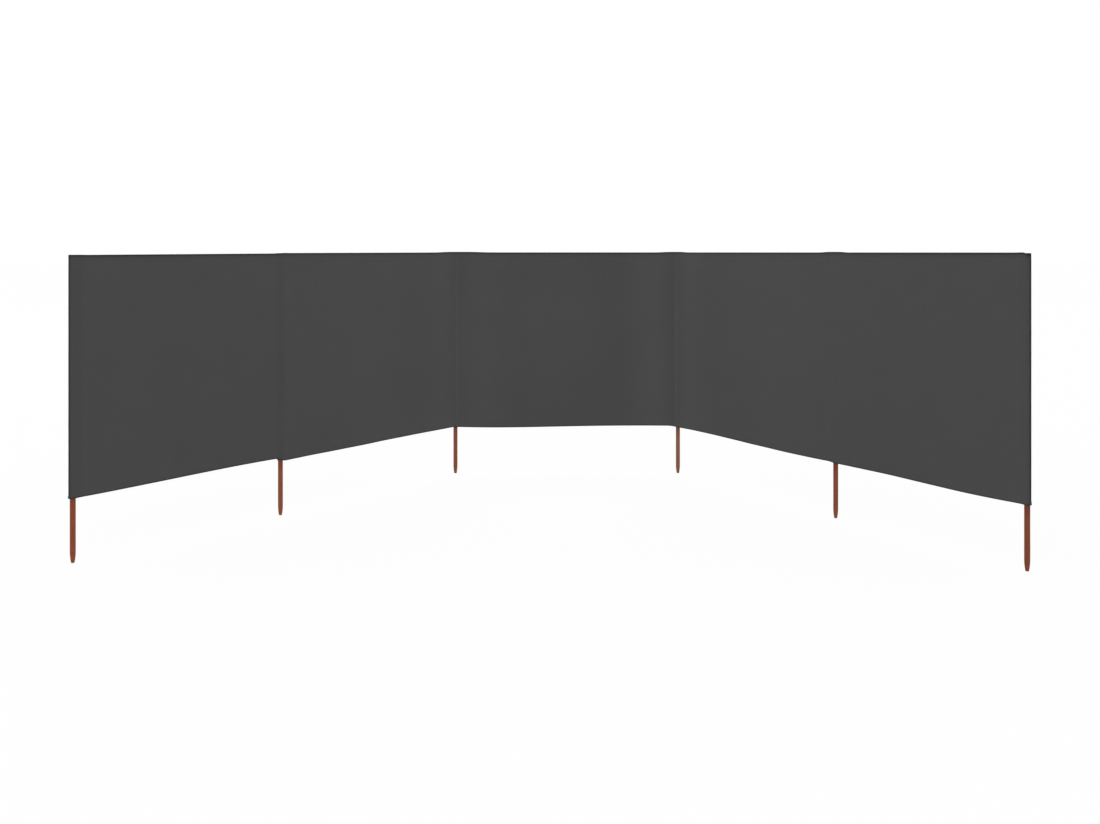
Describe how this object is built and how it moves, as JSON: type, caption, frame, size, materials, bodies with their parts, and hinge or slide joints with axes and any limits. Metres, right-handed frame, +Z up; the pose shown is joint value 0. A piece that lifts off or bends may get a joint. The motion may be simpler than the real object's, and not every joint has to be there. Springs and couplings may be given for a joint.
{
  "type": "beach windbreak",
  "caption": "Beach windbreak: grey cloth in bays between round wooden poles that stand in sewn pockets, set out as an open U with splayed wings.",
  "frame": {"origin": "centre of the flat foot of the third pole from the left, seen from the sheltered side", "axes": "+X along the middle bay towards the fourth pole, +Y to the windward side (the wings run towards -Y), +Z up"},
  "size_m": [3.6677, 2.1844, 1.2028],
  "materials": {
    "stained_pine": "red-brown stained pine, matt",
    "cloth": "matt anthracite cloth"
  },
  "bodies": {
    "root": {"pole_1": "stained_pine", "pole_2": "stained_pine", "pole_3": "stained_pine", "pole_4": "stained_pine", "pole_5": "stained_pine", "pole_6": "stained_pine", "pocket_1": "cloth", "pocket_2": "cloth", "pocket_3": "cloth", "pocket_4": "cloth", "pocket_5": "cloth", "pocket_6": "cloth", "panel_1": "cloth", "panel_2": "cloth", "panel_3": "cloth", "panel_4": "cloth", "panel_5": "cloth", "top_hem_1": "cloth", "top_hem_2": "cloth", "top_hem_3": "cloth", "top_hem_4": "cloth", "top_hem_5": "cloth", "bottom_hem_1": "cloth", "bottom_hem_2": "cloth", "bottom_hem_3": "cloth", "bottom_hem_4": "cloth", "bottom_hem_5": "cloth"}
  },
  "joints": []
}
